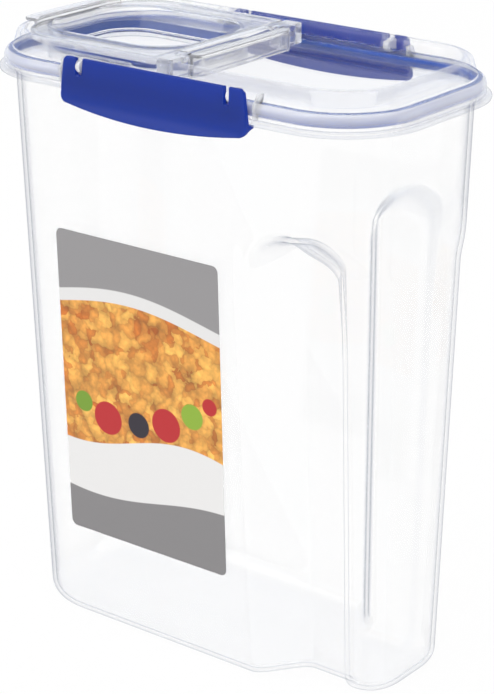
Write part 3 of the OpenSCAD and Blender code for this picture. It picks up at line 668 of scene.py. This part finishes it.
def blue_plastic(name, tint, roughness, grain_mm, inside, glow="#000000", passed=0.0):
    """inside is the subsurface share. glow is the colour of the light that a thin plate lets through, and passed
    the share of the shader that does so."""
    material, tree = new_material(name)
    place = add(tree, "ShaderNodeTexCoord").outputs["Object"]
    noise = add(tree, "ShaderNodeTexNoise", {"Vector": place, "Scale": 1000 / grain_mm, "Detail": 3.0})
    bump = {"Height": noise.outputs["Fac"], "Strength": GRAIN, "Distance": GRAIN_DEPTH}
    shader = add(tree, "ShaderNodeBsdfPrincipled", {
        "Base Color": colour(tint), "Roughness": roughness, "IOR": 1.5, "Specular IOR Level": 0.35,
        "Normal": add(tree, "ShaderNodeBump", bump), "Subsurface Weight": inside, "Subsurface Scale": 0.001,
        "Subsurface Radius": (0.5, 0.7, 1.5),
    })
    lit = add(tree, "ShaderNodeBsdfTranslucent", {"Color": colour(glow)})
    both = add(tree, "ShaderNodeMixShader", {0: passed, 1: shader, 2: lit})
    add(tree, "ShaderNodeOutputMaterial", {"Surface": both})
    return material


clip_blue = blue_plastic("blue_clip_plastic", "#273f8b", 0.32, 0.6, 0.0, "#4a88f0", 0.5)
seal_blue = blue_plastic("blue_silicone", "#2253b0", 0.45, 0.8, 0.2)

seal_profile = np.vstack([
    [(4.15, 262.6), (4.0, 262.8), (4.0, 265.1)],
    arc(5.8, 265.1, 1.8, 1.8, 180, 90, 7),
    [(8.1, 266.9), (8.3, 266.7), (8.3, 265.35), (8.1, 265.15)],
    [(6.2, 265.15), (6.0, 264.9), (6.0, 262.8), (5.85, 262.6)],
])
lid_seal = ring_surface("lid_seal_ring", carried(lid_plan, lid_way, seal_profile), ends="loop")
dress(lid_seal, seal_blue, "lid", "lid_seal")

# %% [markdown]
# ## The printed label
#
# The label is a curved sheet of the CAD model, so it is used as it stands and only painted. Its print is a
# plain pattern: a golden band of flakes on grey, a pale band under it and a row of round dots. The edges of the
# bands are sine waves. The flakes are the cells of a Voronoi pattern, bent by a noise so that no edge is straight.

# %% Label print
GROUND = "#7f7d7e"
BANDS = [  # from the bottom up: height, size, length and shift of the wave, and the colour above it
    (72, 5, 150, 0.4, "#dddcdb"), (98, 6, 130, 1.2, "flakes"),
    (158, 6, 170, 2.4, "#d8d7d6"), (164, 6, 170, 2.4, "#8c8a8b"),
]
DOTS = [  # x, height, radius and colour
    (-52, 112, 5, "#6f9420"), (-38, 107, 8, "#b3161c"), (-20, 108, 6, "#231a28"),
    (-4, 112, 8, "#b3161c"), (11, 120, 6, "#86a82c"), (21, 127, 4, "#b3161c"),
]
BAND_EDGE, DOT_EDGE = 0.4, 0.5  # width of the soft edges
FLAKE, CRUMPLE, CRUMB = 100 / 19, 6.25, 2.0  # width of a flake, of the bends in its edge and of the crumbs on it
PUSH = 11  # the furthest that a bend moves an edge


def label_print():
    """Each band covers all above the line height + size * sin(2 pi x / length + shift), and each dot all that is
    nearer to its centre than its radius."""
    material, tree = new_material("label_print")
    place = add(tree, "ShaderNodeTexCoord").outputs["Object"]
    along = add(tree, "ShaderNodeSeparateXYZ", {0: place})
    flat = add(tree, "ShaderNodeCombineXYZ", {0: along.outputs["X"], 2: along.outputs["Z"]})

    noise = add(tree, "ShaderNodeTexNoise", {"Vector": place, "Scale": 1000 / CRUMPLE, "Detail": 2.0})
    push = {0: noise.outputs["Color"], 1: (PUSH * MM,) * 3}
    push = add(tree, "ShaderNodeVectorMath", push, operation="MULTIPLY")
    bent = add(tree, "ShaderNodeVectorMath", {0: place, 1: push}, operation="ADD")
    cells = add(tree, "ShaderNodeTexVoronoi", {"Vector": bent, "Scale": 1000 / FLAKE, "Randomness": 1.0})
    gold = {0: cells.outputs["Color"], 6: colour("#bd5f10"), 7: colour("#f3ba58")}
    gold = add(tree, "ShaderNodeMix", gold, data_type="RGBA").outputs[2]
    curl = add(tree, "ShaderNodeMath", {0: cells.outputs["Distance"], 1: -0.75, 2: 1.3}, operation="MULTIPLY_ADD")
    crumbs = add(tree, "ShaderNodeTexNoise", {"Vector": place, "Scale": 1000 / CRUMB}).outputs["Fac"]
    crumbs = add(tree, "ShaderNodeMath", {0: crumbs, 1: 0.5, 2: 0.72}, operation="MULTIPLY_ADD")
    shade = add(tree, "ShaderNodeMath", {0: curl, 1: crumbs}, operation="MULTIPLY")
    flakes = {0: 1.0, 6: gold, 7: shade}
    flakes = add(tree, "ShaderNodeMix", flakes, data_type="RGBA", blend_type="MULTIPLY").outputs[2]

    paint = colour(GROUND)
    for height, size, length, shift, tint in BANDS:
        wave = {0: along.outputs["X"], 1: 2 * math.pi / (length * MM), 2: shift}
        wave = add(tree, "ShaderNodeMath", wave, operation="MULTIPLY_ADD")
        wave = add(tree, "ShaderNodeMath", {0: wave}, operation="SINE")
        line = add(tree, "ShaderNodeMath", {0: wave, 1: size * MM, 2: height * MM}, operation="MULTIPLY_ADD")
        over = add(tree, "ShaderNodeMath", {0: along.outputs["Z"], 1: line}, operation="SUBTRACT")
        share = {0: over, 1: 1000 / BAND_EDGE, 2: 0.5}
        share = add(tree, "ShaderNodeMath", share, operation="MULTIPLY_ADD", use_clamp=True)
        above = flakes if tint == "flakes" else colour(tint)
        paint = add(tree, "ShaderNodeMix", {0: share, 6: paint, 7: above}, data_type="RGBA").outputs[2]
    for x, z, radius, tint in DOTS:
        centre = (x * MM, 0, z * MM)
        gap = add(tree, "ShaderNodeVectorMath", {0: flat, 1: centre}, operation="DISTANCE").outputs["Value"]
        share = {0: gap, 1: -1000 / DOT_EDGE, 2: radius / DOT_EDGE + 0.5}
        share = add(tree, "ShaderNodeMath", share, operation="MULTIPLY_ADD", use_clamp=True)
        paint = add(tree, "ShaderNodeMix", {0: share, 6: paint, 7: colour(tint)}, data_type="RGBA").outputs[2]
    shader = add(tree, "ShaderNodeBsdfPrincipled", {"Base Color": paint, "Roughness": 0.42, "IOR": 1.5})
    add(tree, "ShaderNodeOutputMaterial", {"Surface": shader})
    return material


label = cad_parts["label"]
label.data.materials.clear()
label.data.materials.append(label_print())
print("label printed:", label.name)

# %% [markdown]
# ## The snap clips
#
# A clip is a bowed plate with a hook along its inner side. Its section is worked out at stations along X.
# The foot follows a bow and rises round the corners, and the top drops into the two slots for the lid's
# ears. A station that stands twice, once with the top up and once with it down, gives a slot's upright side.

# %% Clips
CLIP_HALF, CLIP_R, CLIP_TOP = 50, 4, 274.0  # half length, lower corners and top
FOOT_Z, BOW = 254.0, 3.4  # the foot at the corners, and how far its middle hangs lower
SLOT_HALF, SLOT_Z, SLOT_DIP = 2.0, 268.0, 1.6  # half width of a slot, the start of its round bottom and its depth
END_R, TOP_FALL, FALL_L = 0.6, 1.2, 1.6  # rounding at the ends, and depth and length of the top's fall there
TAPER, TAPER_Z = 0.04, 258  # the plate is shorter by this share at the top, growing from a height
BEND, ROWS = 0.5, 24  # rounding of the outer edges, and rows of points on the face
CLIP_CORNER = CLIP_HALF - CLIP_R
HOOK = np.array([
    (57.6, 259.4), (57.5, 259.05), (57.2, 258.9), (55.0, 258.9), (54.7, 258.8), (54.6, 258.5), (54.6, 257.8),
    (54.75, 257.5), (57.2, 256.2), (57.8, 255.6),
])


def clip_face(z):
    """Distance of the outer face from the middle plane, at a height: nearly upright, and flared at the foot."""
    heights = [250.6, 252.4, 254.6, 256.8, 259.0, 262.2, 273.4]
    return np.interp(z, heights, [62.4, 61.6, 60.5, 59.9, 59.75, 59.9, 59.4])


def clip_inside(z):
    """The same for the inner face below the hook."""
    return np.interp(z, [250.6, 255.8, 256.4], [61.2, 57.8, 57.6])


def clip_rings():
    """Ring k is the section at station k: up the face, over the top, down the hook and round the foot. The foot
    is FOOT_Z - BOW (1 - (x / corner)^2), plus the drop of a quarter circle past the corner. The bottom of a slot is
    an arc, SLOT_Z - SLOT_DIP sqrt(1 - t^2). A ring is then shortened by up to TAPER of its x towards the top."""
    end = -CLIP_HALF + END_R * (1 - np.cos(np.radians(np.linspace(0, 90, 5))))
    slot = np.linspace(-LUG_X - SLOT_HALF, -LUG_X + SLOT_HALF, 11)
    near_end, near_slot, middle = np.linspace(-49.2, -46, 8), np.linspace(-45, -42.8, 3), np.linspace(-38.6, 0, 28)
    x = np.concatenate([end, near_end, near_slot, slot, middle])
    x = np.concatenate([x, -x[-2::-1]])
    side = np.abs(x)
    bow = BOW * (1 - (np.minimum(side, CLIP_CORNER) / CLIP_CORNER) ** 2)
    bottom = FOOT_Z - bow + corner_drop(CLIP_R, side - CLIP_CORNER)
    in_slot = np.clip(1 - ((side - LUG_X) / SLOT_HALF) ** 2, 0, None)
    top = CLIP_TOP - TOP_FALL * ease((side - CLIP_HALF + FALL_L) / FALL_L)
    top = np.where(in_slot > 0, SLOT_Z - SLOT_DIP * np.sqrt(in_slot), top)
    bottom, top = bottom[:, None], top[:, None]
    edge = 0.5 / END_R * corner_drop(END_R, side - (CLIP_HALF - END_R))[:, None]

    level = np.linspace(251.0, 273.6, ROWS)[None, :]
    apart = 0.01 * np.arange(ROWS)[None, :]
    z_out = np.minimum(np.maximum(level, bottom + BEND + apart), top - BEND - apart[:, ::-1])
    y_out = clip_face(z_out) - edge
    face_y = clip_face(top) - edge
    inner_y = np.array([58.1, 57.75, 57.6]) + 0 * top
    crest_y = np.hstack([face_y - 0.15, face_y - BEND, inner_y])
    crest_z = np.hstack([top - 0.15, top, top, top - 0.15, top - BEND])
    hook = np.broadcast_to(HOOK[None], (len(x),) + HOOK.shape).copy()
    hook[..., 1] = np.maximum(hook[..., 1], bottom + 0.6)
    foot_in, foot_out = clip_inside(bottom), clip_face(bottom) - edge
    tail_y = np.hstack([clip_inside(bottom + BEND), foot_in + 0.15, foot_in + 0.45, foot_out - BEND, foot_out - 0.15])
    tail_z = np.hstack([bottom + BEND, bottom + 0.12, bottom, bottom, bottom + 0.12])
    parts = [np.stack(pair, axis=-1) for pair in ((y_out, z_out), (crest_y, crest_z), (tail_y, tail_z))]
    section = np.concatenate([parts[0], parts[1], hook, parts[2]], axis=1)

    taper = 1 - TAPER * np.clip((section[..., 1] - TAPER_Z) / (CLIP_TOP - TAPER_Z), 0, 1)
    rings = np.stack([x[:, None] * taper, section[..., 0], section[..., 1]], axis=-1)
    doubled = np.insert(rings, np.flatnonzero(np.abs(np.diff(top[:, 0])) > 3) + 1, np.nan, axis=0)
    for row in np.flatnonzero(np.isnan(doubled[:, 0, 0])):
        doubled[row] = doubled[row + 1] * (0, 1, 1) + mix(doubled[row - 1], doubled[row + 1], 0.02) * (1, 0, 0)
    return doubled


clip = clip_rings()
dress(ring_surface("clip_back_plate", clip, "caps"), clip_blue, "clip_back", "clip_back")
dress(ring_surface("clip_front_plate", clip * (-1, -1, 1), "caps"), clip_blue, "clip_front", "clip_front")

# %% [markdown]
# ## The flip cover
#
# The cover is a thin plate with a sunken mouth that plugs the pour opening. Again one profile runs from the
# middle of the tray out to the edge and back below to the middle. A barrel with two pins lets it turn in the
# ears, and a thumb brim reaches over the lid's raised ring at the other end.

# %% Flip cover
mouth_plan, mouth_way = rounded_plan(-92.5, -12.5, 31.5, 22.0, 22.0)
plate_plan, plate_way = rounded_plan(-94.3, -9.8, 44.8, 24.8, 2.5)
TRAY_Z, TRAY_UNDER = 266.3, 264.8  # top and underside of the tray
TRAY_MIDDLE = np.array([-52.5, 0, 0])

slope = np.array([
    (6.9, TRAY_Z), (6.2, TRAY_Z + 0.1), (5.6, TRAY_Z + 0.5), (5.2, TRAY_Z + 1.1),
    (0.7, 275.0), (0.35, 275.7), (0.1, 276.05), (-0.3, PLATE_TOP),
])
edge = np.array([
    (1.1, PLATE_TOP), (0.45, 276.15), (0.12, 275.95), (0.0, 275.6), (0.0, 272.95),
    (0.2, 272.7), (1.0, 272.7), (1.2, 272.9), (1.2, 274.5), (1.4, 274.7),
])
back_slope = np.array([(-1.6, 274.7), (-1.3, 274.4), (3.6, 265.5), (4.0, 264.95), (4.6, TRAY_UNDER)])
slope_rings = carried(mouth_plan, mouth_way, slope)
edge_rings = carried(plate_plan, plate_way, edge)
back_rings = carried(mouth_plan, mouth_way, back_slope)


def tray(ring, z, shares):
    """Rings between a ring and the middle of the tray, level at z."""
    flat = TRAY_MIDDLE + (ring[None] - TRAY_MIDDLE) * np.array(shares)[:, None, None]
    flat[..., 2] = z
    return flat


cover_rings = np.concatenate([
    tray(slope_rings[0], TRAY_Z, [0.05, 0.3, 0.6, 0.85, 0.96]), slope_rings,
    mix(slope_rings[-1], edge_rings[0], np.linspace(0, 1, 6)[1:-1, None, None]), edge_rings,
    mix(edge_rings[-1], back_rings[0], np.linspace(0, 1, 4)[1:-1, None, None]), back_rings,
    tray(back_rings[-1], TRAY_UNDER, [0.96, 0.85, 0.6, 0.3, 0.05]),
])
# One value for each ring: tray, slope, plate, edge, underside, back of the slope and underside of the tray.
slope_haze, back_haze = [0, 0, 0.1, 0.1, 0.2, 0.3, 0.3, 0.3], [0.3, 0.2, 0.1, 0.1, 0]
cover_haze = [0] * 5 + slope_haze + [0.25] * 4 + [0.5] * 10 + [0.25] * 2 + back_haze + [0] * 5
cover_straight = [1] * 5 + [0] * 8 + [0.5] * 4 + [0] * 10 + [0.5] * 2 + [0] * 5 + [1] * 5
cover = ring_surface("cover_plate", cover_rings, haze=cover_haze, straight=cover_straight)
dress(cover, clear_lid, "flap", "flap")

# %% Barrel and pins
HINGE_X, HINGE_Z = -5.5, 273.8  # the axis that the cover turns on
BARREL_R, BARREL_HALF, PIN_R, PIN_START, PIN_END = 2.4, 29.6, 1.4, 29.0, 35.6

barrel_outline = np.vstack([
    arc(HINGE_X, HINGE_Z, BARREL_R, BARREL_R, 90, -158, 24), [(-9.0, 274.7), (-11.0, 274.7), (-11.0, 276.15)],
])
barrel = ring_surface("cover_barrel", sweep_rings(barrel_outline, -BARREL_HALF, BARREL_HALF, "y"), "caps", 0.4)
dress(barrel, clear_lid, "flap", "flap")
pin_outline = arc(HINGE_X, HINGE_Z, PIN_R, PIN_R, 0, 345, 24)
for tag, first, last in (("front", -PIN_END, -PIN_START), ("back", PIN_START, PIN_END)):
    pin = ring_surface(f"cover_pin_{tag}", sweep_rings(pin_outline, first, last, "y"), "caps")
    dress(pin, clear_lid, "flap", "flap")


# %% Thumb brim
BRIM_TURN, BRIM_IN, TIP_R = 21, 11.0, 4  # degrees round a corner, inset of the arc they are on, round of the ends


def brim_rings():
    """An L section carried round the left end of the lid's plan: straight, then round a part of each corner. At
    the brim's two ends the tip of the L draws back along a quarter circle of radius TIP_R."""
    corner = LIP_R - BRIM_IN
    straight = LIP_W / 2 - LIP_R
    reach = straight + corner * np.radians(BRIM_TURN)
    near = reach - TIP_R * (1 - np.cos(np.radians(np.linspace(0, 90, 9))))
    t = np.concatenate([near, np.linspace(reach - TIP_R - 1, 0, 16)])
    t = np.concatenate([-t, t[-2::-1]])
    angle = np.sign(t) * np.clip(np.abs(t) - straight, 0, None) / corner
    way = np.stack([-np.cos(angle), np.sin(angle)], axis=-1)
    middle = np.stack([np.full_like(t, -LIP_L / 2 + LIP_R), np.sign(t) * np.minimum(np.abs(t), straight)], axis=-1)
    draw = corner_drop(TIP_R, np.abs(t) - (reach - TIP_R))[:, None]
    tip = np.array([(9.1, 278.4), (8.65, 278.2), (8.5, 277.75), (8.65, 277.3), (9.1, 277.1)])
    rest = np.array([
        (14.0, 277.1), (14.2, 276.9), (14.2, 275.3), (15.5, 275.3),
        (15.65, 277.6), (15.4, 278.1), (14.8, 278.4), (13.0, 278.4),
    ])
    inset = np.hstack([tip[:, 0] + draw, np.broadcast_to(rest[:, 0], (len(t), len(rest)))])
    z = np.broadcast_to(np.concatenate([tip[:, 1], rest[:, 1]]), inset.shape)
    flat = middle[:, None] + (LIP_R - inset)[..., None] * way[:, None]
    return np.concatenate([flat, z[..., None]], axis=2)


dress(ring_surface("cover_brim", brim_rings(), "caps", 0.5), clear_lid, "flap", "flap")

# %% The cover's seal
ring_section = np.array([
    (3.9, 265.9), (3.7, 265.7), (0.6, 265.7), (0.15, 265.9), (0.0, 266.4),
    (0.0, 268.7), (0.2, 269.1), (1.9, 269.1), (2.3, 268.9), (3.7, 266.4),
])
flap_seal = ring_surface("mouth_seal_ring", carried(mouth_plan, mouth_way, ring_section), ends="loop")
dress(flap_seal, seal_blue, "flap", "flap_seal")

# %% [markdown]
# ## Camera, floor and light
#
# The camera stands to the right of the front and a little above. The floor is white and keeps the box's soft
# shadow. Camera, glossy and transmission rays see it, and the world round it, as plain white, so that the clear
# plastic has the same white behind it as its surroundings. A large soft lamp from the upper left gives the walls
# their slow shading.

# %% Camera
SENSOR, FOCAL_PX, IMAGE_H = 36.0, 2293.6, 694  # sensor in mm, and the distance to the image in pixels of its height
target = np.array([4.06, 0.0, 136.76]) * MM
eye = np.array([595.68, -761.20, 500.55]) * MM


def looking(spot, aim):
    """The matrix of a thing at spot whose -Z looks at aim, with its X level: its columns are right, up, back and
    the spot, where right = Z x back and up = back x right."""
    back = (spot - aim) / np.linalg.norm(spot - aim)
    right = np.cross([0, 0, 1], back)
    right /= np.linalg.norm(right)
    pose = np.eye(4)
    pose[:3, :4] = np.stack([right, np.cross(back, right), back, spot], axis=-1)
    return Matrix(pose.tolist())


camera_data = bpy.data.cameras.new("camera")
camera_data.sensor_width = SENSOR
camera_data.lens = FOCAL_PX / IMAGE_H * SENSOR
camera = bpy.data.objects.new("camera", camera_data)
bpy.context.scene.collection.objects.link(camera)
camera.matrix_world = looking(eye, target)
bpy.context.scene.camera = camera
print("camera at", np.round(eye, 3), "lens", round(camera_data.lens, 2))


# %% Floor
def seen_white(tree):
    """1 for camera, glossy and transmission rays: the largest of the three."""
    path = add(tree, "ShaderNodeLightPath")
    direct = {0: path.outputs["Is Camera Ray"], 1: path.outputs["Is Glossy Ray"]}
    direct = add(tree, "ShaderNodeMath", direct, operation="MAXIMUM")
    return add(tree, "ShaderNodeMath", {0: direct, 1: path.outputs["Is Transmission Ray"]}, operation="MAXIMUM")


FLOOR_HALF, FLOOR_DROP = 4, 0.0002  # in metres: the floor lies a hair under the base
PLAIN = 0.94  # share of plain white in what those rays see of the floor: the rest shows its shadows
corners = [(x * FLOOR_HALF, y * FLOOR_HALF, -FLOOR_DROP) for x, y in ((-1, -1), (1, -1), (1, 1), (-1, 1))]
floor_mesh = bpy.data.meshes.new("floor")
floor_mesh.from_pydata(corners, [], [(0, 1, 2, 3)])
floor = bpy.data.objects.new("floor", floor_mesh)
bpy.context.scene.collection.objects.link(floor)
floor_paint, tree = new_material("white_floor")
lit = add(tree, "ShaderNodeBsdfDiffuse", {"Color": colour("#f6f6f6")})
plain = add(tree, "ShaderNodeEmission", {"Color": (1, 1, 1, 1), "Strength": 1.0})
share = add(tree, "ShaderNodeMath", {0: seen_white(tree), 1: PLAIN}, operation="MULTIPLY")
both = add(tree, "ShaderNodeMixShader", {0: share, 1: lit, 2: plain})
add(tree, "ShaderNodeOutputMaterial", {"Surface": both})
floor_mesh.materials.append(floor_paint)
print("floor laid:", floor.name)

# %% World
# Light falls in from a white room. A ray that sees the room directly or through the plastic sees plain white. What
# the plastic mirrors is a slightly bluer white, which sets its edges off from the floor.
world = bpy.data.worlds.new("white_room")
bpy.context.scene.world = world
world.use_nodes = True
tree = world.node_tree
tree.nodes.clear()
room = add(tree, "ShaderNodeBackground", {"Color": (1, 1, 1, 1), "Strength": 0.95})
white = add(tree, "ShaderNodeBackground", {"Color": (1, 1, 1, 1), "Strength": 1.0})
mirrored = add(tree, "ShaderNodeBackground", {"Color": (0.8, 0.86, 0.98, 1), "Strength": 0.97})
path = add(tree, "ShaderNodeLightPath")
reflected = {0: path.outputs["Is Glossy Ray"], 1: path.outputs["Is Transmission Ray"]}
reflected = add(tree, "ShaderNodeMath", reflected, operation="SUBTRACT", use_clamp=True)
both = add(tree, "ShaderNodeMixShader", {0: seen_white(tree), 1: room, 2: white})
every = add(tree, "ShaderNodeMixShader", {0: reflected, 1: both, 2: mirrored})
add(tree, "ShaderNodeOutputWorld", {"Surface": every})
print("world:", world.name)


# %% Lamps
def soft_lamp(name, spot, size, power):
    """A square lamp at a spot, given in metres, that looks at the middle of the box."""
    data = bpy.data.lights.new(name, "AREA")
    data.size, data.energy = size, power
    lamp = bpy.data.objects.new(name, data)
    bpy.context.scene.collection.objects.link(lamp)
    lamp.matrix_world = looking(np.array(spot), target)
    print("lamp:", name, size, "m,", power, "W")


soft_lamp("key", (-0.7, -1.0, 1.1), 1.2, 7.0)
soft_lamp("fill", (1.3, -0.5, 0.7), 1.0, 3.0)
bpy.context.scene.view_settings.view_transform = "Standard"

# A ray through the cover, the lid and the box meets some twenty faces, more than Blender's usual limit of 12.
# Where a path is cut short it brings back black, so the limits are raised.
BOUNCES, GLOSSY_BOUNCES = 40, 16
light_paths = bpy.context.scene.cycles
light_paths.max_bounces = light_paths.transmission_bounces = light_paths.transparent_max_bounces = BOUNCES
light_paths.glossy_bounces = GLOSSY_BOUNCES
